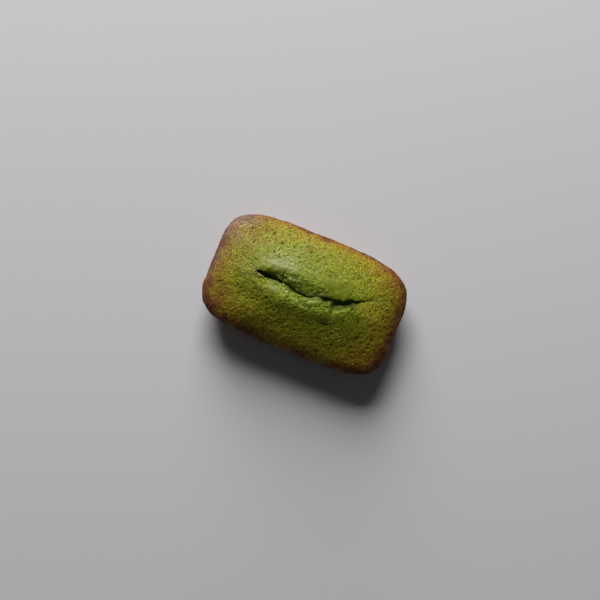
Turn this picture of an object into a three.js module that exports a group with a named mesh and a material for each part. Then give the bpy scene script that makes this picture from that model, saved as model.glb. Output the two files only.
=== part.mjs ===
// A financier: a small almond and butter cake, green with powdered tea, baked in a shallow tin that
// has round corners and leaning walls. It is one solid. The base is flat, the walls lean out to the
// rim, the shoulder rolls over, and the domed top has burst along its length.
// Millimetres, +Z up, origin at the middle of the base, +X along the length, -Y the front.
import * as THREE from "three";
import { ParametricGeometry } from "three/addons/geometries/ParametricGeometry.js";
import { mergeVertices } from "three/addons/utils/BufferGeometryUtils.js";

// Driving dimensions of the whole cake
const LENGTH = 78;
const WIDTH = 47.6;
const RIM_HEIGHT = 10.5; // level of the tin's edge, where the cake is widest
const WALL_LEAN = 4.2; // how far the walls lean in between the rim and the base
const WALL_CURVE = 1.25; // above 1 turns the wall upright as it nears the rim
const BASE_ROUND = 2.4; // radius of the bottom edge
const SHOULDER_REACH = 7; // width and height of the roll from wall to top
const SHOULDER_RISE = 2.6;
const DOME_RISE = 9.5; // middle of the dome above the shoulder, before the burst
const DOME_POWER = { length: 2.6, width: 1.35 }; // higher keeps the dome flatter in its middle

// The plan is a superellipse. Its power at each corner says how square that corner is.
const CORNER_POWER = 4.34;
const BACK_IS_SQUARER = 0.58;
const DIAGONAL_IS_SQUARER = 0.31;

// The crevice's path: furthest back in the middle, forward in a curve to the left with a jog in it,
// and forward in one step to the right
const CREVICE_MIDDLE = { x: 0.6, y: 0.8 };
const LEFT_CURVE = { fall: 0.036, power: 1.65 };
const JOG = { shift: 0.6, middle: -7.5, reach: 4, power: 4 };
const RIGHT_STEP = { shift: 1.95, middle: 7.2, reach: 3.2 };

// Sections across the burst, from its left end to its right end. The front lip rolls down to the
// crevice, the torn back slope falls to it from behind, and the crevice is cut in between them.
const SECTIONS = {
  x: [-28, -24.5, -22, -20, -16.5, -13, -10.5, -5, 0, 6, 11, 15, 18.6, 21.2],
  frontDepth: [0, 0.6, 0.6, 0.8, 1.5, 2, 2.1, 2.2, 2.4, 2.4, 2.5, 2.4, 0.6, 0],
  frontWidth: [3, 3.5, 4, 5, 8, 8.6, 7.6, 6.8, 6.3, 6.3, 5.8, 5.3, 3, 2],
  frontCurve: [2, 2, 2, 1.6, 1.4, 1.4, 1.3, 1.2, 1.2, 1.3, 1.8, 1.8, 2, 2],
  backDepth: [0, 0.5, 0.4, 0.5, 1.6, 2.2, 1.3, 1.2, 1.5, 1.8, 2.2, 2.4, 1.4, 0],
  backWidth: [3, 3.5, 3, 3, 6.5, 8, 6.5, 6, 6, 6.4, 8.4, 7.5, 4, 2],
  creviceDepth: [0, 0.1, 0.6, 1.3, 2.1, 2.4, 2.8, 1.5, 1.5, 1.3, 2.2, 2.4, 2.2, 0],
  frontOpening: [0.3, 0.3, 0.3, 0.6, 0.8, 0.5, 0.4, 0.3, 0.35, 0.35, 0.6, 0.8, 1, 0.3],
  backOpening: [0.3, 0.3, 0.9, 2.2, 4.2, 4.8, 2.2, 0.3, 0.35, 0.55, 0.6, 0.8, 0.8, 0.3],
};
const BACK_CURVE = 2; // as frontCurve: 1 is a straight slope, higher hollows it out
const CREVICE_WALL = { front: 0.6, back: 0.15 }; // lower makes the crevice's walls more upright

// Swellings of the lips and the dome, with their place, their reach each way and their rise
const SWELLINGS = [
  { x: 14.2, y: -6, reachX: 4.2, reachY: 2, rise: 0.2 },
  { x: -11, y: -6, reachX: 5.5, reachY: 2.8, rise: 0.1 },
  { x: 12.2, y: 3.4, reachX: 2.2, reachY: 1.4, rise: 0.3 },
  { x: 19, y: 15.5, reachX: 8, reachY: 5.8, rise: 1 },
  { x: -10.5, y: 5.4, reachX: 4.5, reachY: 2.2, rise: 0.35 },
  { x: 9, y: 6.5, reachX: 6, reachY: 2.5, rise: 0.5 },
  { x: 26, y: 5, reachX: 6, reachY: 4.5, rise: 0.4 },
];

// Facets: stations go round the cake, and rows run from the crevice over the rim to the base
const STATIONS = 112;
const CREVICE_ROWS = 6;
const SLOPE_ROWS = 8;
const LIP_TO_RIM_ROWS = 14;
const TOP_ROWS = CREVICE_ROWS + SLOPE_ROWS + LIP_TO_RIM_ROWS;
const WALL_ROWS = 7;
const BASE_ROWS = 2;
const TURNED_SHARE = 0.12; // share of the crevice at each end where its sections turn to the end
const RIM_CROWDING = 1.5; // above 1 draws the top's rows towards the rim
const FOOT_CROWDING = 1.5; // above 1 draws the wall's rows towards the bottom edge
const STATION_CROWDING = 0.11; // above 0 draws the stations towards the crevice's ends
const BASE_LINE = 26; // half length of the line that the base's rows close on
const MERGE_DISTANCE = 1e-3; // points closer than this are one point

const HALF_LENGTH = LENGTH / 2;
const HALF_WIDTH = WIDTH / 2;
const BURST_LEFT = SECTIONS.x[0];
const BURST_RIGHT = SECTIONS.x[SECTIONS.x.length - 1];

// 1 at the middle, falling to about a third at the reach and to nothing beyond it
function bell(at, { middle, reach, power }) {
  return Math.exp(-((Math.abs(at - middle) / reach) ** power));
}

// Distance from the centre to the rim in the direction of an angle
function rimReach(angle) {
  const power =
    CORNER_POWER + BACK_IS_SQUARER * Math.sin(angle) - DIAGONAL_IS_SQUARER * Math.sin(2 * angle);
  const across = Math.abs(Math.cos(angle) / HALF_LENGTH) ** power;
  const along = Math.abs(Math.sin(angle) / HALF_WIDTH) ** power;
  return (across + along) ** (-1 / power);
}

// Half of the rim, clockwise from above, from the right end by the front or from the left by the back
class HalfRim extends THREE.Curve {
  constructor(startAngle) {
    super();
    this.startAngle = startAngle;
  }

  getPoint(share, target = new THREE.Vector3()) {
    const angle = this.startAngle - Math.PI * share;
    const reach = rimReach(angle);
    return target.set(reach * Math.cos(angle), reach * Math.sin(angle), 0);
  }
}

const frontRim = new HalfRim(0);
const backRim = new HalfRim(Math.PI);

function rimPoint(turn) {
  return turn <= 0.5 ? frontRim.getPointAt(2 * turn) : backRim.getPointAt(2 * turn - 1);
}

// How far a turn has come along the crevice: from 0 at its right end to 1 at its left, and back
function shareAlong(turn) {
  const share = 2 * Math.min(turn, 1 - turn);
  return share - STATION_CROWDING * Math.sin(2 * Math.PI * share);
}

// Where the crevice lies across the cake
function creviceLine(x) {
  const leftCurve = LEFT_CURVE.fall * Math.max(0, CREVICE_MIDDLE.x - x) ** LEFT_CURVE.power;
  const jog = JOG.shift * bell(x, JOG);
  const intoStep = (1 + Math.tanh((x - RIGHT_STEP.middle) / RIGHT_STEP.reach)) / 2;
  return CREVICE_MIDDLE.y - leftCurve - jog - RIGHT_STEP.shift * intoStep;
}

// A size of the burst, which goes smoothly from each listed section to the next
function sizeAt(x, name) {
  const places = SECTIONS.x;
  const sizes = SECTIONS[name];
  const found = places.findIndex((place) => place >= x);
  const after = found < 0 ? places.length - 1 : Math.max(1, found);
  const share = THREE.MathUtils.smoothstep(x, places[after - 1], places[after]);
  return THREE.MathUtils.lerp(sizes[after - 1], sizes[after], share);
}

// Top of the uncracked cake: the rim, the roll of the shoulder and the dome
function domeHeight(x, y) {
  const reach = rimReach(Math.atan2(y, x));
  const inside = Math.max(0, reach - Math.hypot(x, y));
  const roll = 1 - Math.min(1, inside / SHOULDER_REACH);
  const alongShare = 1 - Math.min(1, Math.abs(x) / HALF_LENGTH) ** DOME_POWER.length;
  const acrossShare = 1 - Math.min(1, Math.abs(y) / HALF_WIDTH) ** DOME_POWER.width;
  return RIM_HEIGHT + SHOULDER_RISE * Math.sqrt(1 - roll * roll) + DOME_RISE * alongShare * acrossShare;
}

// The swellings that stand on the dome
function swellingHeight(x, y) {
  return SWELLINGS.reduce(
    (sum, s) => sum + s.rise * Math.exp(-(((x - s.x) / s.reachX) ** 2) - ((y - s.y) / s.reachY) ** 2),
    0,
  );
}

// Depth of the burst beside a place on the crevice. The slopes of both sides meet at its floor.
function burstDepth(x, side, distance) {
  const sideDepth = sizeAt(x, `${side}Depth`);
  const intoSlope = Math.max(0, 1 - distance / sizeAt(x, `${side}Width`));
  const intoCrevice = Math.max(0, 1 - (distance / sizeAt(x, `${side}Opening`)) ** 2);
  const floorDepth = sizeAt(x, "creviceDepth") + sizeAt(x, "backDepth");
  const slope = sideDepth * intoSlope ** (side === "front" ? sizeAt(x, "frontCurve") : BACK_CURVE);
  return slope + (floorDepth - sideDepth) * intoCrevice ** CREVICE_WALL[side];
}

// The way a section of the burst runs in plan: straight across, but towards the rim at the two ends
function sectionDirection(turn, crevice, side) {
  const along = shareAlong(turn);
  const straightness = THREE.MathUtils.smoothstep(Math.min(along, 1 - along), 0, TURNED_SHARE);
  const straight = new THREE.Vector3(0, side === "front" ? -1 : 1, 0);
  return rimPoint(turn).sub(crevice).normalize().lerp(straight, straightness).normalize();
}

// A row's distance from the crevice: over its opening, and then over the slope beside it
function rowDistance(x, side, row) {
  const opening = sizeAt(x, `${side}Opening`);
  if (row <= CREVICE_ROWS) return opening * Math.sin((Math.PI / 2) * (row / CREVICE_ROWS));
  const slopeShare = Math.min(1, (row - CREVICE_ROWS) / SLOPE_ROWS);
  return THREE.MathUtils.lerp(opening, sizeAt(x, `${side}Width`), slopeShare);
}

// A point of the top: out from the crevice over its lip, and from there straight to the rim
function topPoint(turn, row, target) {
  const x = THREE.MathUtils.lerp(BURST_RIGHT, BURST_LEFT, shareAlong(turn));
  const side = turn <= 0.5 ? "front" : "back";
  const crevice = new THREE.Vector3(x, creviceLine(x), 0);
  const distance = rowDistance(x, side, row);
  const lipRow = Math.max(0, row - CREVICE_ROWS - SLOPE_ROWS);
  const toRim = 1 - (1 - lipRow / LIP_TO_RIM_ROWS) ** RIM_CROWDING;
  target.copy(sectionDirection(turn, crevice, side)).multiplyScalar(distance).add(crevice);
  target.lerp(rimPoint(turn), toRim);
  const { x: px, y: py } = target;
  target.z = domeHeight(px, py) + swellingHeight(px, py) - burstDepth(x, side, distance);
}

// The rim's outline drawn in on all sides by the same distance
function insetRim(turn, inset, target) {
  target.copy(rimPoint(turn));
  target.x *= 1 - inset / HALF_LENGTH;
  target.y *= 1 - inset / HALF_WIDTH;
}

// A point of the wall, from the rim at share 0 down the lean and round the bottom edge to share 1
function wallPoint(turn, share, target) {
  const height = RIM_HEIGHT * (1 - share) ** FOOT_CROWDING;
  const roundShare = Math.max(0, 1 - height / BASE_ROUND);
  const roundInset = BASE_ROUND * (1 - Math.sqrt(1 - roundShare * roundShare));
  const leanInset = WALL_LEAN * (1 - height / RIM_HEIGHT) ** WALL_CURVE;
  insetRim(turn, leanInset + roundInset, target);
  target.z = height;
}

// A point of the flat base, from the bottom edge at share 0 to its middle line at share 1
function basePoint(turn, share, target) {
  insetRim(turn, WALL_LEAN + BASE_ROUND, target);
  const middle = new THREE.Vector3(BASE_LINE * (1 - 2 * shareAlong(turn)), 0, 0);
  target.lerp(middle, share);
}

// The whole skin: turn goes once round the cake, and row from the crevice to the base's middle line
function skinPoint(turn, down, target) {
  const row = down * (TOP_ROWS + WALL_ROWS + BASE_ROWS);
  const wallRow = row - TOP_ROWS;
  const baseRow = wallRow - WALL_ROWS;
  if (wallRow <= 0) topPoint(turn, row, target);
  else if (baseRow <= 0) wallPoint(turn, wallRow / WALL_ROWS, target);
  else basePoint(turn, baseRow / BASE_ROWS, target);
}

function cakeGeometry() {
  const skin = new ParametricGeometry(skinPoint, STATIONS, TOP_ROWS + WALL_ROWS + BASE_ROWS);
  skin.deleteAttribute("normal");
  skin.deleteAttribute("uv");
  const closed = mergeVertices(skin, MERGE_DISTANCE);
  closed.computeVertexNormals();
  return closed;
}

const crust = new THREE.MeshStandardMaterial({ color: 0x7d7a22, roughness: 0.6, metalness: 0 });
const cake = new THREE.Mesh(cakeGeometry(), crust);
cake.name = "cake";

const financier = new THREE.Group();
financier.add(cake);

export default financier;
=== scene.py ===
import bpy
import numpy as np
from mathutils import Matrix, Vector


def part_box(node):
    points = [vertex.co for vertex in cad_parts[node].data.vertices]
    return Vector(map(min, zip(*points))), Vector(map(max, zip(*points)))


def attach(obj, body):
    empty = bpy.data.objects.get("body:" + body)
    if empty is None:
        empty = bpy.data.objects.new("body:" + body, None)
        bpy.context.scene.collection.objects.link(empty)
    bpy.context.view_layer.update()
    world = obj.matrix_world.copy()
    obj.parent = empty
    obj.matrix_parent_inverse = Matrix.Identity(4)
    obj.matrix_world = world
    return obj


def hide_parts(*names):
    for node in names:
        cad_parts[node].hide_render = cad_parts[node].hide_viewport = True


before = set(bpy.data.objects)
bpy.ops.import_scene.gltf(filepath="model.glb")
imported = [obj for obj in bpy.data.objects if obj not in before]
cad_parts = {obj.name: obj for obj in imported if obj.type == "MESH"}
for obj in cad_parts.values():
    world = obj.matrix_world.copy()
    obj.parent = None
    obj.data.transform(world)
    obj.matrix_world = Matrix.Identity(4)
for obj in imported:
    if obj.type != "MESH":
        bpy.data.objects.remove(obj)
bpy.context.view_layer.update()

# The cake as the tin shaped it
# A financier is a soft almond and butter sponge, here green with powdered tea. It is baked in a
# shallow tin with round corners and leaning walls, and its dome is what rose above the tin's rim.
# Sizes are in millimetres, X runs along the cake, and its front is at -Y.

MM = 0.001
half_length, half_width = np.array(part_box("cake")[1])[:2] / MM
RIM_HEIGHT = 10.5
WALL_LEAN = 4.2
WALL_CURVE = 1.25
BASE_ROUND = 2.4
SHOULDER_REACH = 7.0
SHOULDER_RISE = 2.6
DOME_RISE = 9.5
DOME_POWER_LENGTH = 2.6
DOME_POWER_WIDTH = 1.35

CORNER_POWER = 4.34
BACK_IS_SQUARER = 0.58
DIAGONAL_IS_SQUARER = 0.31
RIM_STEPS = 8000


def rim_reach(angle):
    """Distance from the centre to the rim: a superellipse whose power differs from corner to corner."""
    power = CORNER_POWER + BACK_IS_SQUARER * np.sin(angle) - DIAGONAL_IS_SQUARER * np.sin(2 * angle)
    along = np.abs(np.cos(angle) / half_length) ** power
    across = np.abs(np.sin(angle) / half_width) ** power
    return (along + across) ** (-1 / power)


def rim_points(turn):
    """The rim at shares of a turn, clockwise from +X: even steps of length within each half."""
    angle = np.linspace(0, -2 * np.pi, RIM_STEPS + 1)
    outline = rim_reach(angle)[:, None] * np.stack([np.cos(angle), np.sin(angle)], -1)
    steps = np.linalg.norm(np.diff(outline, axis=0), axis=1)
    length = np.concatenate([[0], np.cumsum(steps)])
    half = length[RIM_STEPS // 2]
    wanted = np.where(turn <= 0.5, 2 * turn * half, half + (2 * turn - 1) * (length[-1] - half))
    return np.stack([np.interp(wanted, length, outline[:, axis]) for axis in (0, 1)], -1)


def dome_height(x, y):
    """Top before the burst: rim height, a quarter ellipse for the shoulder, and the dome's product."""
    inside = np.maximum(0, rim_reach(np.arctan2(y, x)) - np.hypot(x, y))
    roll = 1 - np.minimum(1, inside / SHOULDER_REACH)
    along = 1 - np.minimum(1, np.abs(x) / half_length) ** DOME_POWER_LENGTH
    across = 1 - np.minimum(1, np.abs(y) / half_width) ** DOME_POWER_WIDTH
    return RIM_HEIGHT + SHOULDER_RISE * np.sqrt(1 - roll**2) + DOME_RISE * along * across


# The burst along the top
# The skin set first, and the crumb that went on rising tore it open lengthwise. It left a valley
# with a dark crevice at its bottom, torn slopes of fresh crumb, and lips that were pushed up.

MIDDLE_X = 0.6
MIDDLE_Y = 0.8
LEFT_FALL = 0.036
LEFT_POWER = 1.65
JOG = 0.6
JOG_X = -7.5
JOG_REACH = 4.0
RIGHT_STEP = 1.95
RIGHT_STEP_X = 7.2
RIGHT_STEP_REACH = 3.2

# Sizes of the burst at places along it. Curve is the power of a slope, and torn is how far from the
# crevice fresh crumb shows.
SECTIONS = {
    "x": [-28.0, -24.5, -22.0, -20.0, -16.5, -13.0, -10.5, -5.0, 0.0, 6.0, 11.0, 15.0, 18.6, 21.2],
    "front_depth": [0.0, 0.6, 0.6, 0.8, 1.5, 2.0, 2.1, 2.2, 2.4, 2.4, 2.5, 2.4, 0.6, 0.0],
    "front_width": [3.0, 3.5, 4.0, 5.0, 8.0, 8.6, 7.6, 6.8, 6.3, 6.3, 5.8, 5.3, 3.0, 2.0],
    "front_curve": [2.0, 2.0, 2.0, 1.6, 1.4, 1.4, 1.3, 1.2, 1.2, 1.3, 1.8, 1.8, 2.0, 2.0],
    "back_depth": [0.0, 0.5, 0.4, 0.5, 1.6, 2.2, 1.3, 1.2, 1.5, 1.8, 2.2, 2.4, 1.4, 0.0],
    "back_width": [3.0, 3.5, 3.0, 3.0, 6.5, 8.0, 6.5, 6.0, 6.0, 6.4, 8.4, 7.5, 4.0, 2.0],
    "crevice_depth": [0.0, 0.1, 0.6, 1.3, 2.1, 2.4, 2.8, 1.5, 1.5, 1.3, 2.2, 2.4, 2.2, 0.0],
    "front_opening": [0.3, 0.3, 0.3, 0.6, 0.8, 0.5, 0.4, 0.3, 0.35, 0.35, 0.6, 0.8, 1.0, 0.3],
    "back_opening": [0.3, 0.3, 0.9, 2.2, 4.2, 4.8, 2.2, 0.3, 0.35, 0.55, 0.6, 0.8, 0.8, 0.3],
    "front_torn": [0.2, 0.2, 0.2, 0.2, 0.2, 0.5, 2.0, 4.5, 5.4, 5.6, 2.6, 2.4, 1.5, 0.2],
    "back_torn": [0.2, 0.2, 0.5, 1.5, 4.0, 5.0, 5.2, 5.4, 5.4, 5.0, 2.0, 0.6, 0.6, 0.2],
}
BACK_CURVE = 2.0
FRONT_WALL_POWER = 0.6
BACK_WALL_POWER = 0.15

# Crumb that still joins the crevice's two sides, and the share of its depth that it fills
BRIDGES = [
    {"x": 9.2, "reach": 1.0, "share": 0.8},
    {"x": -4.8, "reach": 1.7, "share": 0.9},
    {"x": -10.6, "reach": 1.5, "share": 0.35},
]

FISSURE_X = 10.3
FISSURE_LEAN = -0.05
FISSURE_WIDTH = 0.25
FISSURE_WIDENING = 0.1
FISSURE_LEAST_WIDTH = 0.1
FISSURE_DEPTH = 1.0
FISSURE_MIDDLE = -3.0
FISSURE_REACH = 2.4

# How the torn edges wander, as noises of a height, a size and a seed
RAGGED_EDGE = [{"height": 0.35, "size": 1.5, "seed": 40}]
UNEVEN_WIDTH = [{"height": 0.5, "size": 2.4, "seed": 41}]
UNEVEN_WIDTH_REACH = 2.8
FISSURE_WANDER = [{"height": 0.6, "size": 1.7, "seed": 43}]

# Places where the top swelled, how far its skin was stretched smooth, and its share of painted sheen
SWELLINGS = [
    {"x": 14.2, "y": -6.0, "reach_x": 4.2, "reach_y": 2.0, "rise": 0.2, "smooth": 1.4, "painted_lobe_sheen": 0.5},
    {"x": -11.0, "y": -6.0, "reach_x": 5.5, "reach_y": 2.8, "rise": 0.1, "smooth": 1.4, "painted_lobe_sheen": 0.0},
    {"x": 12.2, "y": 3.4, "reach_x": 2.2, "reach_y": 1.4, "rise": 0.3, "smooth": 1.4, "painted_lobe_sheen": 0.4},
    {"x": 19.0, "y": 15.5, "reach_x": 8.0, "reach_y": 5.8, "rise": 1.0, "smooth": 0.0, "painted_lobe_sheen": 0.0},
    {"x": -10.5, "y": 5.4, "reach_x": 4.5, "reach_y": 2.2, "rise": 0.35, "smooth": 0.0, "painted_lobe_sheen": 0.0},
    {"x": 9.0, "y": 6.5, "reach_x": 6.0, "reach_y": 2.5, "rise": 0.5, "smooth": 0.0, "painted_lobe_sheen": 0.0},
    {"x": 26.0, "y": 5.0, "reach_x": 6.0, "reach_y": 4.5, "rise": 0.4, "smooth": 0.0, "painted_lobe_sheen": 0.0},
]

# Powers of a bell
ROUND = 2
FLAT_TOPPED = 4


def bell(at, middle, reach, power):
    """1 at the middle, a third at the reach, little beyond: exp(-(distance / reach) ^ power)."""
    return np.exp(-((np.abs(at - middle) / reach) ** power))


def patches(x, y, listed, value="share"):
    """Sum over the listed places of a value of theirs, each by a round bell along X and across."""
    return sum(
        place[value]
        * bell(x, place["x"], place["reach_x"], ROUND)
        * bell(y, place["y"], place["reach_y"], ROUND)
        for place in listed
    )


# Large odd factors, and shifts between them, that mix the bits of a lattice cell
CELL_FACTORS = np.array([73856093, 19349663, 83492791])
SEED_FACTOR = 668265263
MIXING_STEPS = ((15, 2246822519), (13, 3266489917))
LAST_SHIFT = 16


def lattice_random(cells, seed):
    """A repeatable number from 0 to 1 for each whole-numbered cell, by mixing its bits."""
    mixed = ((cells.astype(np.int64) * CELL_FACTORS).sum(-1) + seed * SEED_FACTOR).astype(np.uint32)
    for shift, factor in MIXING_STEPS:
        mixed = (mixed ^ (mixed >> np.uint32(shift))) * np.uint32(factor)
    return (mixed ^ (mixed >> np.uint32(LAST_SHIFT))) / 2.0**32


def smooth_step(share):
    """From 0 to 1 with level ends: share squared times (3 less twice the share)."""
    return share * share * (3 - 2 * share)


def smooth_noise(points, size, seed):
    """Random values from -1 to 1 on a cubic lattice of a size, blended by a smooth step between."""
    cell = np.floor(points / size)
    blend = smooth_step(points / size - cell)
    total = np.zeros(points.shape[:-1])
    for corner in np.ndindex(2, 2, 2):
        weight = np.prod(np.where(corner, blend, 1 - blend), axis=-1)
        total += weight * lattice_random(cell + corner, seed)
    return 2 * total - 1


def wander(points, noises):
    """Sum of smooth noises, each of its own size and seed and times its own height."""
    return sum(
        noise["height"] * smooth_noise(points, noise["size"], noise["seed"]) for noise in noises
    )


def section(x, name):
    """A size of the burst at x: it goes by a smooth step from each listed section to the next."""
    places = np.array(SECTIONS["x"])
    sizes = np.array(SECTIONS[name])
    after = np.clip(np.searchsorted(places, x), 1, len(places) - 1)
    share = np.clip((x - places[after - 1]) / (places[after] - places[after - 1]), 0, 1)
    return sizes[after - 1] + (sizes[after] - sizes[after - 1]) * smooth_step(share)


def section_beside(x, side, name):
    """A size of the burst at x, on the side of the crevice that the sign says: in front below 0."""
    return np.where(side < 0, section(x, "front_" + name), section(x, "back_" + name))


def crevice_line(x):
    """Where the crevice lies across the cake: to the left a power law and a jog, to the right a step."""
    fall = LEFT_FALL * np.maximum(0, MIDDLE_X - x) ** LEFT_POWER
    jog = JOG * bell(x, JOG_X, JOG_REACH, FLAT_TOPPED)
    step = RIGHT_STEP * (1 + np.tanh((x - RIGHT_STEP_X) / RIGHT_STEP_REACH)) / 2
    return MIDDLE_Y - (fall + jog) - step


def bridged(x):
    """How far crumb fills the crevice at x: a bell about each bridge."""
    return sum(
        bridge["share"] * bell(x, bridge["x"], bridge["reach"], ROUND) for bridge in BRIDGES
    )


def burst_depth(x, side):
    """Depth at a signed distance from a place on the crevice: that side's slope and the crevice's U."""
    distance = np.abs(side)
    depth = section_beside(x, side, "depth")
    curve = np.where(side < 0, section(x, "front_curve"), BACK_CURVE)
    slope = depth * np.maximum(0, 1 - distance / section_beside(x, side, "width")) ** curve
    floor = section(x, "crevice_depth") + section(x, "back_depth")
    wall = np.where(side < 0, FRONT_WALL_POWER, BACK_WALL_POWER)
    crevice = np.maximum(0, 1 - (distance / section_beside(x, side, "opening")) ** 2) ** wall
    return slope + (floor - depth) * crevice * (1 - bridged(x))


def fissure_depth(x, y):
    """A short leaning tear across the front lip: a bell each way, wider towards the crevice."""
    along = y - FISSURE_MIDDLE
    width = np.maximum(FISSURE_LEAST_WIDTH, FISSURE_WIDTH + FISSURE_WIDENING * along)
    across = bell(x - FISSURE_LEAN * along, FISSURE_X, width, ROUND)
    return FISSURE_DEPTH * across * bell(along, 0, FISSURE_REACH, FLAT_TOPPED)


def torn_depth(plan, from_x, side):
    """Depth of burst and fissure, where noise shifts the distances across and widens the crevice."""
    x = plan[..., 0]
    y = plan[..., 1]
    level = np.dstack([plan, np.zeros_like(x)])
    ragged = wander(level, RAGGED_EDGE)
    wider = np.exp(wander(level, UNEVEN_WIDTH) * bell(side, 0, UNEVEN_WIDTH_REACH, ROUND))
    fissure = fissure_depth(x + wander(level, FISSURE_WANDER), y)
    return burst_depth(from_x, (side + ragged) / wider) + fissure


# The cake's skin as one closed mesh
# The skin runs in rows from the crevice out over the lips, the dome and the shoulder, down the wall
# and in across the flat base. Its stations go clockwise from +X, first in front of the crevice and
# then behind it, and stations that face each other share the crevice's points.

STATIONS = 640
CREVICE_ROWS = 14
SLOPE_ROWS = 30
LIP_TO_RIM_ROWS = 76
WALL_ROWS = 26
BASE_ROWS = 3
TURNED_SHARE = 0.12
RIM_CROWDING = 1.25
FOOT_CROWDING = 1.3
STATION_CROWDING = 0.11
BASE_LINE = 26.0

turn = np.arange(STATIONS) / STATIONS
rim = rim_points(turn)
sign = np.where(turn <= 0.5, -1.0, 1.0)
halfway = 2 * np.minimum(turn, 1 - turn)
share_along = halfway - STATION_CROWDING * np.sin(2 * np.pi * halfway)
station_x = SECTIONS["x"][-1] + (SECTIONS["x"][0] - SECTIONS["x"][-1]) * share_along


def shares(rows):
    """Even shares above 0 and up to 1."""
    return np.arange(1, rows + 1) / rows


def unit(vectors):
    """Each vector divided by its own length."""
    return vectors / np.linalg.norm(vectors, axis=-1, keepdims=True)


def section_direction(crevice):
    """The way a section runs in plan: straight across, but towards the rim at the burst's two ends."""
    fan = unit(rim - crevice)
    straight = np.stack([np.zeros(STATIONS), sign], -1)
    from_end = np.clip(np.minimum(share_along, 1 - share_along) / TURNED_SHARE, 0, 1)
    return unit(fan + (straight - fan) * smooth_step(from_end)[:, None])


def top_plan():
    """Rows in plan over the crevice's opening, its slope and on to the rim, with signed distances."""
    crevice = np.stack([station_x, crevice_line(station_x)], -1)
    opening = section_beside(station_x, sign, "opening")
    width = section_beside(station_x, sign, "width")
    over_opening = opening * np.sin(np.pi / 2 * shares(CREVICE_ROWS)[:, None])
    over_slope = opening + (width - opening) * shares(SLOPE_ROWS)[:, None]
    distance = np.concatenate([np.zeros((1, STATIONS)), over_opening, over_slope])
    burst = crevice + section_direction(crevice) * distance[..., None]
    to_rim = 1 - (1 - shares(LIP_TO_RIM_ROWS)[:, None, None]) ** RIM_CROWDING
    outer = burst[-1] + (rim - burst[-1]) * to_rim
    beyond = width + np.linalg.norm(outer - burst[-1], axis=-1)
    return np.concatenate([burst, outer]), sign * np.concatenate([distance, beyond])


def top_rows(plan, side):
    """The top over its plan: the dome and its swellings, less the depth of the tears."""
    x = plan[..., 0]
    y = plan[..., 1]
    risen = dome_height(x, y) + patches(x, y, SWELLINGS, "rise")
    return np.dstack([plan, risen - torn_depth(plan, station_x, side)])


def inset_rim(inset):
    """The rim drawn in by a distance: each axis scaled so that its half size loses that much."""
    return rim * (1 - inset[:, None, None] / np.array([half_length, half_width]))


def wall_rows():
    """Down from the rim: the lean as a power of the drop, and a quarter circle at the bottom edge."""
    height = RIM_HEIGHT * (1 - shares(WALL_ROWS)) ** FOOT_CROWDING
    into_round = np.maximum(0, 1 - height / BASE_ROUND)
    round_inset = BASE_ROUND * (1 - np.sqrt(1 - into_round**2))
    plan = inset_rim(WALL_LEAN * (1 - height / RIM_HEIGHT) ** WALL_CURVE + round_inset)
    return np.dstack([plan, np.broadcast_to(height[:, None], plan.shape[:2])])


def base_rows():
    """In across the base, by straight lines from the bottom edge to a line along its middle."""
    edge = inset_rim(np.array([WALL_LEAN + BASE_ROUND]))
    middle = np.stack([BASE_LINE * (1 - 2 * share_along), np.zeros(STATIONS)], -1)
    plan = edge + (middle - edge) * shares(BASE_ROWS)[:, None, None]
    return np.dstack([plan, np.zeros(plan.shape[:2])])


def closed_mesh(name, grid):
    """A grid of rows and stations as quads, with its first and last rows folded onto themselves.

    A quad is split from its first corner. In the last row, which folds onto a straight line, every
    other quarter of the stations starts one corner on, so that no triangle is squashed into that line.
    """
    index = np.arange(grid.shape[0] * STATIONS).reshape(-1, STATIONS)
    half = STATIONS // 2
    for row in (0, -1):
        index[row, half + 1 :] = index[row, 1:half][::-1]
    right = np.roll(index, -1, axis=1)
    quads = np.stack([index[:-1], right[:-1], right[1:], index[1:]], -1)
    quarter = 4 * np.arange(STATIONS) // STATIONS
    one_corner_on = quarter % 2 == 0
    quads[-1, one_corner_on] = np.roll(quads[-1, one_corner_on], -1, axis=-1)
    kept, quads = np.unique(quads, return_inverse=True)
    mesh = bpy.data.meshes.new(name)
    mesh.from_pydata(grid.reshape(-1, 3)[kept] * MM, [], quads.reshape(-1, 4))
    mesh.shade_smooth()
    return mesh, kept


plan, top_side = top_plan()
grid = np.concatenate([top_rows(plan, top_side), wall_rows(), base_rows()])
cake_mesh, kept = closed_mesh("cake_skin", grid)

# Pores, crumb and unevenness
# Steam left fine pits all over the skin, the torn slopes show coarse lumps of crumb, and the whole
# top rose a little unevenly. The lips next to the burst were stretched, and are smoother.

# Where the skin ends and the torn crumb begins
TEAR_WANDER = [{"height": 0.9, "size": 2.2, "seed": 7}, {"height": 0.5, "size": 0.9, "seed": 8}]
TEAR_FULL_WANDER = 3.0
TEAR_EDGE = 0.9

# Noises of the relief
UNEVEN_TOP = [{"height": 0.14, "size": 7.0, "seed": 1}, {"height": 0.08, "size": 3.1, "seed": 2}]
UNEVEN_RIM = [{"height": 0.25, "size": 2.6, "seed": 5}]
UNEVEN_RIM_REACH = 2.5
GRAIN = [{"height": 0.08, "size": 1.3, "seed": 3}, {"height": 0.1, "size": 0.7, "seed": 4}]
CROOKED_PITS = [[{"height": 0.45, "size": 0.9, "seed": seed}] for seed in (50, 51, 52)]
STRETCHED_LOSES = 0.85

# Scattered pits, whose radius is a least one and a spread times a power of a random number
FINE_PITS = {"spacing": 1.2, "seed": 10, "least": 0.2, "spread": 0.3, "power": 2, "steepness": 1.3}
WIDE_PITS = {"spacing": 2.4, "seed": 15, "least": 0.12, "spread": 0.46, "power": 1, "steepness": 1.2}
FINE_PIT_DEPTH = 0.2
WIDE_PIT_DEPTH = 0.4

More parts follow.
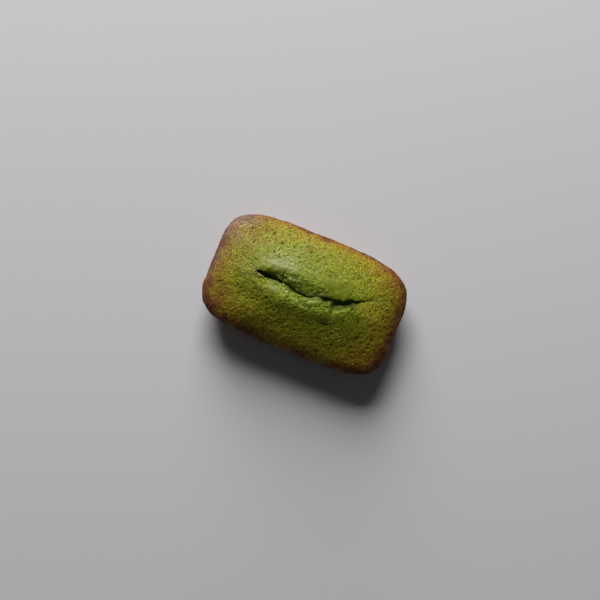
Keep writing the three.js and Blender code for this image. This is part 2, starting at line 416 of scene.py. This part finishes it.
# Scattered lumps of crumb. Further off than the level's share of the spacing they turn into dips.
SMALL_LUMPS = {"spacing": 1.4, "seed": 20, "height": 0.4, "level": 0.55}
LARGE_LUMPS = {"spacing": 3.0, "seed": 25, "height": 0.5, "level": 0.5}
LEAST_LUMP = 0.5
CRUMB_SINKS = 0.1


def vectors_of(items, name):
    """One vector of each of a mesh's items, as rows of three numbers."""
    values = np.empty(3 * len(items))
    items.foreach_get(name, values)
    return values.reshape(-1, 3)


def nearest_seed(points, spacing, seed):
    """Distance to the nearest of points scattered one to a cell, and that point's own random number."""
    cell = np.floor(points / spacing)
    nearest = np.full(len(points), np.inf)
    own = np.zeros(len(points))
    for offset in np.ndindex(3, 3, 3):
        other = cell + np.array(offset) - 1
        jitter = np.stack([lattice_random(other, seed + axis) for axis in range(3)], -1)
        distance = np.linalg.norm((other + jitter) * spacing - points, axis=-1)
        closer = distance < nearest
        nearest = np.where(closer, distance, nearest)
        own = np.where(closer, lattice_random(other, seed + 3), own)
    return nearest, own


def pits(points, kind):
    """0 outside every pit and 1 on its floor: a paraboloid about each seed, cut off flat at 1."""
    distance, own = nearest_seed(points, kind["spacing"], kind["seed"])
    radius = kind["least"] + kind["spread"] * own ** kind["power"]
    return np.clip(kind["steepness"] * (1 - (distance / radius) ** 2), 0, 1)


def lumps(points, kind):
    """Height of lumps: a cone about each seed, taller where the seed's own number is larger."""
    distance, own = nearest_seed(points, kind["spacing"], kind["seed"])
    return kind["height"] * (kind["level"] - distance / kind["spacing"]) * (LEAST_LUMP + own)


smooth_skin = vectors_of(cake_mesh.vertices, "co") / MM
normals = vectors_of(cake_mesh.vertex_normals, "vector")
x, y, z = smooth_skin.T
above_rim = z > RIM_HEIGHT
on_top = np.clip((z - RIM_HEIGHT) / SHOULDER_RISE, 0, 1)

# The wall and the base count as far from the crevice
far_side = np.broadcast_to(sign * half_length, (WALL_ROWS + BASE_ROWS, STATIONS))
side = np.concatenate([top_side, far_side]).ravel()[kept]
beside = np.broadcast_to(station_x, grid.shape[:2]).ravel()[kept]
torn_reach = section_beside(beside, side, "torn")
torn_wander = wander(smooth_skin, TEAR_WANDER) * np.minimum(1, torn_reach / TEAR_FULL_WANDER)
torn = above_rim * np.clip((torn_reach - np.abs(side) + torn_wander) / TEAR_EDGE, 0, 1)
stretched = above_rim * np.clip(patches(x, y, SWELLINGS, "smooth"), 0, 1) * (1 - torn)
still_rough = 1 - STRETCHED_LOSES * stretched

near_rim = bell(z, RIM_HEIGHT, UNEVEN_RIM_REACH, ROUND)
uneven = wander(smooth_skin, UNEVEN_TOP) + near_rim * wander(smooth_skin, UNEVEN_RIM)
grain = wander(smooth_skin, GRAIN)
crooked = smooth_skin + np.stack([wander(smooth_skin, noises) for noises in CROOKED_PITS], -1)
fine_pits = pits(crooked, FINE_PITS)
wide_pits = pits(crooked, WIDE_PITS)
skin_relief = (grain - FINE_PIT_DEPTH * fine_pits - WIDE_PIT_DEPTH * wide_pits) * still_rough
crumb_relief = lumps(smooth_skin, SMALL_LUMPS) + grain + lumps(smooth_skin, LARGE_LUMPS) - CRUMB_SINKS

off_base = np.clip(z / BASE_ROUND, 0, 1)
relief = off_base * (uneven + (1 - torn) * skin_relief + torn * crumb_relief)
upwards = np.array([0, 0, 1])
outward = normals * (1 - on_top)[:, None] + upwards * on_top[:, None]
skin = smooth_skin + outward * relief[:, None]
cake_mesh.vertices.foreach_set("co", (skin * MM).ravel())

# The crust's colour
# The tin's heat browned the walls and the rim. The middle of the top stayed green, and the torn
# crumb, which saw the oven last, is the freshest green.
# Painted shade, painted light, painted sheen and a painted highlight are laid into it as well.

# Browning rises from 0 in the middle of the top to 1 at the rim, and above 1 down the walls
BROWNING_POWER = 3.6
BROWNING_WANDER = [
    {"height": 0.05, "size": 8.0, "seed": 30},
    {"height": 0.06, "size": 2.6, "seed": 31},
    {"height": 0.035, "size": 1.1, "seed": 33},
]
BACK_STARTS = 4.0
BACK_BLENDS_OVER = 7.0
BACK_MIDDLE_BROWNER = 0.34
BACK_GREENER = 0.02
FRONT_GREENER = 0.04
FRONT_IS_FULL_AT = 0.5
FRONT_RIM_SHARE = 0.4
FRONT_RIM_WIDTH = 0.2
RIGHT_GREENER = 0.02
WALL_BROWNER = 0.3

# Patches of the crust, each with its reach and its share; a share below 0 does the opposite
BROWNER = [
    {"x": 26.0, "y": -11.0, "reach_x": 8.0, "reach_y": 6.0, "share": 0.08},
    {"x": 18.0, "y": -14.5, "reach_x": 7.0, "reach_y": 4.0, "share": 0.08},
    {"x": -11.5, "y": 6.8, "reach_x": 3.5, "reach_y": 1.8, "share": 0.2},
    {"x": -33.5, "y": -10.0, "reach_x": 5.0, "reach_y": 5.0, "share": 0.05},
    {"x": 23.0, "y": 6.0, "reach_x": 8.0, "reach_y": 5.0, "share": 0.07},
    {"x": 21.0, "y": 18.0, "reach_x": 9.0, "reach_y": 6.0, "share": 0.06},
    {"x": -14.0, "y": 19.0, "reach_x": 14.0, "reach_y": 4.0, "share": -0.04},
    {"x": -26.0, "y": 23.0, "reach_x": 6.0, "reach_y": 3.0, "share": 0.05},
    {"x": -23.5, "y": -16.0, "reach_x": 7.0, "reach_y": 5.0, "share": 0.06},
    {"x": -28.5, "y": 2.0, "reach_x": 4.0, "reach_y": 11.0, "share": 0.05},
    {"x": 38.5, "y": 2.0, "reach_x": 2.0, "reach_y": 9.0, "share": 0.05},
    {"x": 19.0, "y": -23.5, "reach_x": 9.0, "reach_y": 1.8, "share": 0.05},
]
# Painted shade, and painted light where the share is below 0: on and around the burst, at both ends and
# at the front-right corner
PAINTED_SHADE_AND_LIGHT = [
    {"x": 30.0, "y": -7.0, "reach_x": 7.0, "reach_y": 8.0, "share": 0.15},
    {"x": -30.0, "y": -9.0, "reach_x": 5.0, "reach_y": 5.0, "share": 0.25},
    {"x": -3.0, "y": 9.5, "reach_x": 6.0, "reach_y": 2.5, "share": 0.35},
    {"x": -10.0, "y": 7.2, "reach_x": 2.5, "reach_y": 1.2, "share": 0.4},
    {"x": 5.5, "y": -2.6, "reach_x": 4.0, "reach_y": 1.6, "share": 0.4},
    {"x": -12.0, "y": 0.0, "reach_x": 2.5, "reach_y": 1.0, "share": 0.5},
    {"x": 6.5, "y": 3.8, "reach_x": 5.0, "reach_y": 1.6, "share": -0.3},
    {"x": -6.0, "y": -4.5, "reach_x": 3.0, "reach_y": 1.2, "share": -0.25},
    {"x": 14.5, "y": -3.8, "reach_x": 3.5, "reach_y": 1.2, "share": -0.6},
    {"x": -5.2, "y": -0.6, "reach_x": 1.8, "reach_y": 1.6, "share": 0.4},
    {"x": -18.3, "y": -2.4, "reach_x": 1.6, "reach_y": 1.0, "share": 0.65},
    {"x": 20.0, "y": 0.2, "reach_x": 1.6, "reach_y": 1.0, "share": 0.45},
    {"x": 17.0, "y": 2.2, "reach_x": 2.2, "reach_y": 1.0, "share": -0.4},
    {"x": 31.5, "y": -14.0, "reach_x": 4.5, "reach_y": 3.5, "share": -0.35},
    {"x": 34.0, "y": -19.0, "reach_x": 4.5, "reach_y": 3.0, "share": 0.25},
    {"x": 11.0, "y": -2.1, "reach_x": 1.5, "reach_y": 1.1, "share": 0.5},
    {"x": -2.4, "y": -0.9, "reach_x": 1.3, "reach_y": 0.8, "share": 0.55},
]
BUTTERED = [
    {"x": 12.0, "y": -12.0, "reach_x": 15.0, "reach_y": 10.0, "share": 0.4},
    {"x": 11.0, "y": -7.5, "reach_x": 8.0, "reach_y": 3.5, "share": 0.3},
    {"x": 9.0, "y": 2.3, "reach_x": 7.0, "reach_y": 2.2, "share": 0.4},
    {"x": 37.0, "y": 0.0, "reach_x": 4.0, "reach_y": 16.0, "share": 0.3},
    {"x": 27.0, "y": 5.0, "reach_x": 9.0, "reach_y": 8.0, "share": 0.45},
]
# Painted sheen: a pinkish grey laid into the crust's colour at the front-right corner and the right end,
# where the butter's sheen reflects the light
PAINTED_CORNER_SHEEN = [
    {"x": 36.5, "y": -17.0, "reach_x": 7.5, "reach_y": 8.0, "share": 0.75},
    {"x": 38.0, "y": -2.0, "reach_x": 3.0, "reach_y": 9.0, "share": 0.25},
]
PATCHY = [{"height": 0.7, "size": 3.5, "seed": 32}]
PAINTED_CORNER_SHEEN_RISE = 1.2

# Painted shade on the crumb in and beside the crevice, painted shade in the pits, and the butter's sheen
CREVICE_SHADE_OPENINGS = 1.3
CREVICE_SHADE_REACH = 1.0
CREVICE_SHADE_POWER = 0.6
CREVICE_SHADE_DEPTH = 1.3
CREVICE_SHADE_DARKENS = 0.5
CREVICE_SHADE_PATCHY = [{"height": 0.6, "size": 1.8, "seed": 42}]
FINE_PIT_SHARE = 0.8
# Painted shade in the pits, laid into the colour
PAINTED_PIT_SHADE = 0.65
STRETCHED_BUTTER = 0.25
CRUMB_BUTTER = 0.4

# Pale broken skin along the back edge of the wedge, with a painted highlight where it catches
# the light, sparse flecks, and walls with a calmer grain
BROKEN_X = -17.0
BROKEN_REACH = 5.0
EDGE_HIGHLIGHT_SHARE = 0.25
EDGE_HIGHLIGHT_PATCHY = [{"height": 0.3, "size": 1.1, "seed": 9}]
# Sparse pale flecks of grain, partly painted glints where grains catch the light
FLECK_AND_GLINT_SHARE = 0.7
FLECK_AND_GLINT_PATCHY = [{"height": 1.0, "size": 3.0, "seed": 34}]
WALL_CALMER = 0.6
WALL_CALMER_BELOW = 2.0

powers = np.abs(x / half_length) ** BROWNING_POWER + np.abs(y / half_width) ** BROWNING_POWER
nearness = powers ** (1 / BROWNING_POWER)
at_back = np.clip((y - BACK_STARTS) / BACK_BLENDS_OVER, 0, 1)
behind = at_back * (BACK_MIDDLE_BROWNER * (1 - nearness) - BACK_GREENER)
at_front = np.clip(-y / (FRONT_IS_FULL_AT * half_width), 0, 1)
off_rim = np.clip(FRONT_RIM_SHARE + (1 - nearness) / FRONT_RIM_WIDTH, 0, 1)
in_front = -FRONT_GREENER * at_front * off_rim
lengthwise = -RIGHT_GREENER * x * np.abs(x) / half_length**2
blotches = wander(skin, BROWNING_WANDER) + patches(x, y, BROWNER)
browned_top = np.clip(nearness + behind + in_front + lengthwise + blotches, 0, 1)
browned_wall = 1 + WALL_BROWNER * (1 - z / RIM_HEIGHT)

opening = section_beside(beside, side, "opening")
near_crevice = np.clip(1 - np.abs(side) / (CREVICE_SHADE_OPENINGS * opening + CREVICE_SHADE_REACH), 0, 1) ** CREVICE_SHADE_POWER
deep_enough = np.clip(section(beside, "crevice_depth") / CREVICE_SHADE_DEPTH, 0, 1)
# Painted shade in and beside the crevice, less where it is shallow or bridged
crevice_shade = near_crevice * deep_enough * (1 - bridged(beside))
patchy = 1 + wander(skin, PATCHY)
pitted = np.maximum(FINE_PIT_SHARE * fine_pits, wide_pits) * (1 - torn) * (1 - stretched)
buttered_skin = patches(x, y, BUTTERED) * patchy + STRETCHED_BUTTER * stretched
butter = np.clip(buttered_skin + CRUMB_BUTTER * torn * (1 - crevice_shade) ** 2, 0, 1)
# Painted shade of the crevice, patchy
painted_crevice_shade = 1 - CREVICE_SHADE_DARKENS * crevice_shade * (1 + wander(skin, CREVICE_SHADE_PATCHY))
# Painted shade of the crevice and of the patches
top_shade = painted_crevice_shade * (1 - patches(x, y, PAINTED_SHADE_AND_LIGHT))
# Painted sheen at the corner, patchy like the butter
painted_corner_sheen = np.clip(patches(x, y, PAINTED_CORNER_SHEEN) * patchy, 0, 1)

# The tear's edge is 1 where the crumb is half torn open, and 0 on the whole skin and the open crumb
edge_of_tear = 4 * torn * (1 - torn)
# The back edge of the wedge, where pale broken skin gets a painted highlight
lit_broken_edge = (side > 0) * bell(x, BROKEN_X, BROKEN_REACH, FLAT_TOPPED)

layers = {
    "browned": np.where(above_rim, browned_top, browned_wall),
    "torn": torn,
    # pale broken skin with a painted highlight along the wedge's back edge
    "painted_edge_highlight": edge_of_tear * lit_broken_edge * (EDGE_HIGHLIGHT_SHARE + wander(skin, EDGE_HIGHLIGHT_PATCHY)),
    # painted shade of pits, crevice and patches, and painted light where a patch's share is below 0
    "shade": (1 - PAINTED_PIT_SHADE * pitted) * np.where(above_rim, top_shade, 1),
    "butter": butter * (1 - pitted),
    # painted sheen at the corner, only above the rim
    "painted_corner_sheen": painted_corner_sheen * np.clip((z - RIM_HEIGHT) / PAINTED_CORNER_SHEEN_RISE, 0, 1),
    # pale flecks, partly painted glints
    "fleck_and_glint": on_top * still_rough * np.clip(FLECK_AND_GLINT_SHARE + wander(skin, FLECK_AND_GLINT_PATCHY), 0, 1),
    "grainy": still_rough * (1 - WALL_CALMER * np.clip((RIM_HEIGHT - z) / WALL_CALMER_BELOW, 0, 1)),
    # painted sheen on the stretched lobes, laid into the colour as a pale grey
    "painted_lobe_sheen": above_rim * patches(x, y, SWELLINGS, "painted_lobe_sheen") * (1 - torn),
}
for name, values in layers.items():
    layer = cake_mesh.attributes.new(name, "FLOAT", "POINT")
    layer.data.foreach_set("value", values.astype(np.float32))

CRUST_COLOURS = [
    (0.30, "#7b8719"),
    (0.56, "#848919"),
    (0.72, "#8f8a19"),
    (0.82, "#95861b"),
    (0.91, "#8f731b"),
    (0.965, "#875d25"),
    (1.0, "#6d4220"),
]
WALL_COLOUR = "#755227"
# Pinkish grey of the painted sheen at the corner
PAINTED_CORNER_SHEEN_COLOUR = "#987b69"
CRUMB_COLOUR = "#788a1b"
# Pale grey of the painted sheen on the stretched lobes, where their smooth skin reflects the light
PAINTED_LOBE_SHEEN_COLOUR = "#90905c"
# Pale of the broken skin, with its painted highlight
PALE_EDGE_HIGHLIGHT_COLOUR = "#979c55"

# Browning at which the crust is still full green, has none left, and is the rim's or the wall's
FULL_GREEN = 0.75
NO_GREEN = 0.95
RIM_BROWNING = 1.0
WALL_BROWNING = 1.15

# Tints over the crust: each rises from none to its most as its pattern goes from start to full
OLIVE_MOTTLE = {"colour": "#7a6d18", "start": 0.5, "full": 0.7, "most": 0.35}
LIME_MOTTLE = {"colour": "#8e9a14", "start": 0.5, "full": 0.3, "most": 0.5}
PALE_SPECKS = {"colour": "#bfc78e", "start": 0.56, "full": 0.76, "most": 0.25}
# Pale straw flecks, partly painted glints of grains catching the light
PALE_FLECKS_AND_GLINTS = {"colour": "#c4b474", "start": 0.2, "full": 0.1, "most": 0.5}

# Powdered tea is finer than a pixel, so its speckle is drawn as coarse as it needs to show
MOTTLE_MM = 5.0
SPECKLE_MM = 0.7
FLECK_AND_GLINT_MM = 1.9
PORE_MM = 0.7
NOISE_LAYERS = {"Detail": 2.0, "Roughness": 0.6}
SPECKLE_SHADES = {"From Min": 0.3, "From Max": 0.7, "To Min": 0.45, "To Max": 1.5}
PORE_EDGE = 0.45
PORE_DEPTH = 0.09

BUTTER_IOR = 1.46
DRY_ROUGHNESS = 0.6
BUTTER_ROUGHNESS = 0.46
DRY_SHEEN = 0.15
BUTTER_SHEEN = 0.8


def linear(hex_colour):
    """An sRGB hex colour as linear RGBA, by the standard's two-part curve."""
    srgb = np.array([int(hex_colour[start : start + 2], 16) for start in (1, 3, 5)]) / 255
    rgb = np.where(srgb <= 0.04045, srgb / 12.92, ((srgb + 0.055) / 1.055) ** 2.4)
    return (*rgb.tolist(), 1.0)


def add_node(tree, kind, inputs=None, **settings):
    """Adds a node with its settings. Each input is given a value, or linked to another's output."""
    node = tree.nodes.new(kind)
    for name, value in settings.items():
        setattr(node, name, value)
    for socket, value in (inputs or {}).items():
        if isinstance(value, bpy.types.NodeSocket):
            tree.links.new(value, node.inputs[socket])
        else:
            node.inputs[socket].default_value = value
    return node


def tinted(tree, colour, tint, pattern, allowed):
    """A colour with a tint mixed in: by the pattern's rise from start to full, times where it may be."""
    rise = add_node(
        tree,
        "ShaderNodeMapRange",
        {"Value": pattern, "From Min": tint["start"], "From Max": tint["full"], "To Max": tint["most"]},
    )
    share = add_node(
        tree, "ShaderNodeMath", {0: rise.outputs["Result"], 1: allowed}, operation="MULTIPLY"
    )
    mixed = add_node(
        tree,
        "ShaderNodeMixRGB",
        {"Fac": share.outputs["Value"], "Color1": colour, "Color2": linear(tint["colour"])},
    )
    return mixed.outputs["Color"]


def baked_tea_sponge():
    """Baked almond sponge: its butter gives a soft sheen, which fine pits break into specks."""
    material = bpy.data.materials.new("baked_tea_sponge")
    material.use_nodes = True
    tree = material.node_tree
    tree.nodes.clear()
    place = add_node(tree, "ShaderNodeTexCoord").outputs["Object"]
    on_skin = {
        name: add_node(tree, "ShaderNodeAttribute", attribute_name=name).outputs["Fac"]
        for name in layers
    }

    # The crust from green to brown, and over it the wall, a painted sheen at one corner, the crumb, a
    # painted sheen on the stretched lobes and pale broken skin with a painted highlight.
    # New stops go in between the ramp's own two, and then all take their places in order.
    crust = add_node(tree, "ShaderNodeValToRGB", {"Fac": on_skin["browned"]})
    stops = crust.color_ramp.elements
    while len(stops) < len(CRUST_COLOURS):
        stops.new(0.5)
    for stop, (share, stop_colour) in zip(stops, CRUST_COLOURS):
        stop.position = share
        stop.color = linear(stop_colour)
    wall = add_node(
        tree,
        "ShaderNodeMapRange",
        {"Value": on_skin["browned"], "From Min": RIM_BROWNING, "From Max": WALL_BROWNING},
    )
    colour = crust.outputs["Color"]
    for share, over in (
        (wall.outputs["Result"], WALL_COLOUR),
        (on_skin["painted_corner_sheen"], PAINTED_CORNER_SHEEN_COLOUR),
        (on_skin["torn"], CRUMB_COLOUR),
        (on_skin["painted_lobe_sheen"], PAINTED_LOBE_SHEEN_COLOUR),
        (on_skin["painted_edge_highlight"], PALE_EDGE_HIGHLIGHT_COLOUR),
    ):
        mixed = add_node(
            tree, "ShaderNodeMixRGB", {"Fac": share, "Color1": colour, "Color2": linear(over)}
        )
        colour = mixed.outputs["Color"]

    # Mottling, the tea's speckle, pale specks, flecks with painted glints, and the painted shade of pits
    # and crevice
    mottle, speckle = (
        add_node(
            tree, "ShaderNodeTexNoise", {"Vector": place, "Scale": 1 / (size * MM), **NOISE_LAYERS}
        ).outputs["Fac"]
        for size in (MOTTLE_MM, SPECKLE_MM)
    )
    fleck_and_glint, pore = (
        add_node(
            tree, "ShaderNodeTexVoronoi", {"Vector": place, "Scale": 1 / (size * MM)}
        ).outputs["Distance"]
        for size in (FLECK_AND_GLINT_MM, PORE_MM)
    )
    still_green = add_node(
        tree,
        "ShaderNodeMapRange",
        {"Value": on_skin["browned"], "From Min": NO_GREEN, "From Max": FULL_GREEN},
    ).outputs["Result"]
    colour = tinted(tree, colour, OLIVE_MOTTLE, mottle, still_green)
    colour = tinted(tree, colour, LIME_MOTTLE, mottle, still_green)
    tea = add_node(tree, "ShaderNodeMapRange", {"Value": speckle, **SPECKLE_SHADES})
    sprinkled = add_node(
        tree,
        "ShaderNodeMixRGB",
        {"Fac": on_skin["grainy"], "Color1": colour, "Color2": tea.outputs["Result"]},
        blend_type="MULTIPLY",
    )
    green_grain = add_node(
        tree, "ShaderNodeMath", {0: on_skin["grainy"], 1: still_green}, operation="MULTIPLY"
    ).outputs["Value"]
    colour = tinted(tree, sprinkled.outputs["Color"], PALE_SPECKS, speckle, green_grain)
    # Pale flecks with painted glints
    colour = tinted(tree, colour, PALE_FLECKS_AND_GLINTS, fleck_and_glint, on_skin["fleck_and_glint"])
    shaded = add_node(
        tree,
        "ShaderNodeMixRGB",
        {"Fac": 1.0, "Color1": colour, "Color2": on_skin["shade"]},
        blend_type="MULTIPLY",
    )

    # Fine pores as bump, and the sheen of the butter
    pore_edge = add_node(tree, "ShaderNodeMapRange", {"Value": pore, "From Max": PORE_EDGE})
    height = add_node(
        tree, "ShaderNodeMath", {0: pore_edge.outputs["Result"], 1: speckle}, operation="ADD"
    )
    bump = add_node(
        tree,
        "ShaderNodeBump",
        {"Height": height.outputs["Value"], "Strength": on_skin["grainy"], "Distance": PORE_DEPTH * MM},
    )
    butter_gloss, butter_sheen = (
        add_node(
            tree, "ShaderNodeMapRange", {"Value": on_skin["butter"], "To Min": dry, "To Max": buttered}
        ).outputs["Result"]
        for dry, buttered in ((DRY_ROUGHNESS, BUTTER_ROUGHNESS), (DRY_SHEEN, BUTTER_SHEEN))
    )
    surface = add_node(
        tree,
        "ShaderNodeBsdfPrincipled",
        {
            "Base Color": shaded.outputs["Color"],
            "Roughness": butter_gloss,
            "Specular IOR Level": butter_sheen,
            "IOR": BUTTER_IOR,
            "Normal": bump.outputs["Normal"],
        },
    )
    add_node(tree, "ShaderNodeOutputMaterial", {"Surface": surface.outputs["BSDF"]})
    return material


cake_mesh.materials.append(baked_tea_sponge())
cake = bpy.data.objects.new("financier_cake", cake_mesh)
bpy.context.collection.objects.link(cake)
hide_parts("cake")
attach(cake, "root")

# The floor
# A plain pale board with a matt paint on it. It lies level under the cake, and is wide enough to
# fill every view.

FLOOR_HALF = 1500.0
FLOOR_COLOUR = "#e0dfe2"
FLOOR_ROUGHNESS = 0.9
FLOOR_SHEEN = 0.1


def matt_painted_board():
    """Matt painted board: pale, with next to no sheen and no pattern."""
    material = bpy.data.materials.new("matt_painted_board")
    material.use_nodes = True
    surface = material.node_tree.nodes["Principled BSDF"]
    surface.inputs["Base Color"].default_value = linear(FLOOR_COLOUR)
    surface.inputs["Roughness"].default_value = FLOOR_ROUGHNESS
    surface.inputs["Specular IOR Level"].default_value = FLOOR_SHEEN
    return material


floor_mesh = bpy.data.meshes.new("floor")
floor_corners = np.array([(-1, -1, 0), (1, -1, 0), (1, 1, 0), (-1, 1, 0)]) * FLOOR_HALF * MM
floor_mesh.from_pydata(floor_corners, [], [(0, 1, 2, 3)])
floor_mesh.materials.append(matt_painted_board())
floor = bpy.data.objects.new("floor", floor_mesh)
bpy.context.collection.objects.link(floor)

# The light
# One large soft lamp stands low at the front, a little to the right, as a window would. The room
# around it adds a dim fill.

LAMP_ELEVATION = 26.0
LAMP_TOWARDS = (0.46, -0.89)
LAMP_DISTANCE = 1400.0
LAMP_SIDE = 900.0
LAMP_WATTS = 29.5
ROOM_COLOUR = "#f2f4f8"
ROOM_STRENGTH = 0.04

elevation = np.radians(LAMP_ELEVATION)
level = np.array(LAMP_TOWARDS) / np.hypot(*LAMP_TOWARDS) * np.cos(elevation)
lamp_data = bpy.data.lights.new("window", "AREA")
lamp_data.shape = "SQUARE"
lamp_data.size = LAMP_SIDE * MM
lamp_data.energy = LAMP_WATTS
lamp = bpy.data.objects.new("window", lamp_data)
lamp.location = np.array([*level, np.sin(elevation)]) * LAMP_DISTANCE * MM
lamp.rotation_mode = "QUATERNION"
lamp.rotation_quaternion = lamp.location.to_track_quat("Z", "Y")
bpy.context.collection.objects.link(lamp)

room = bpy.data.worlds.new("room")
room.use_nodes = True
background = room.node_tree.nodes["Background"]
background.inputs["Color"].default_value = linear(ROOM_COLOUR)
background.inputs["Strength"].default_value = ROOM_STRENGTH
bpy.context.scene.world = room
bpy.context.scene.view_settings.view_transform = "Standard"

# The camera
# It looks straight down, with the cake's front at the top of the picture. The cake's length lies 22
# degrees off the picture's level, and its middle a little up and to the right of the picture's.

PICTURE = 600
CAKE_PIXEL = (305.0, 293.7)
CAKE_LENGTH_PIXELS = 197.5
CAKE_TURN = 22.0
FRONT_AT_TOP = 180.0
CAMERA_HEIGHT = 660.0
SENSOR_WIDTH = 36.0

pixel = 2 * half_length / CAKE_LENGTH_PIXELS
camera_turn = np.radians(FRONT_AT_TOP + CAKE_TURN)
right = np.array([np.cos(camera_turn), np.sin(camera_turn)])
up = np.array([-np.sin(camera_turn), np.cos(camera_turn)])
offset = (PICTURE / 2 - CAKE_PIXEL[0]) * right + (CAKE_PIXEL[1] - PICTURE / 2) * up
camera_data = bpy.data.cameras.new("overhead")
camera_data.sensor_width = SENSOR_WIDTH
camera_data.lens = SENSOR_WIDTH * (CAMERA_HEIGHT - RIM_HEIGHT) / (PICTURE * pixel)
camera = bpy.data.objects.new("overhead", camera_data)
camera.location = np.array([*(offset * pixel), CAMERA_HEIGHT]) * MM
camera.rotation_euler = (0.0, 0.0, camera_turn)
bpy.context.collection.objects.link(camera)
bpy.context.scene.camera = camera
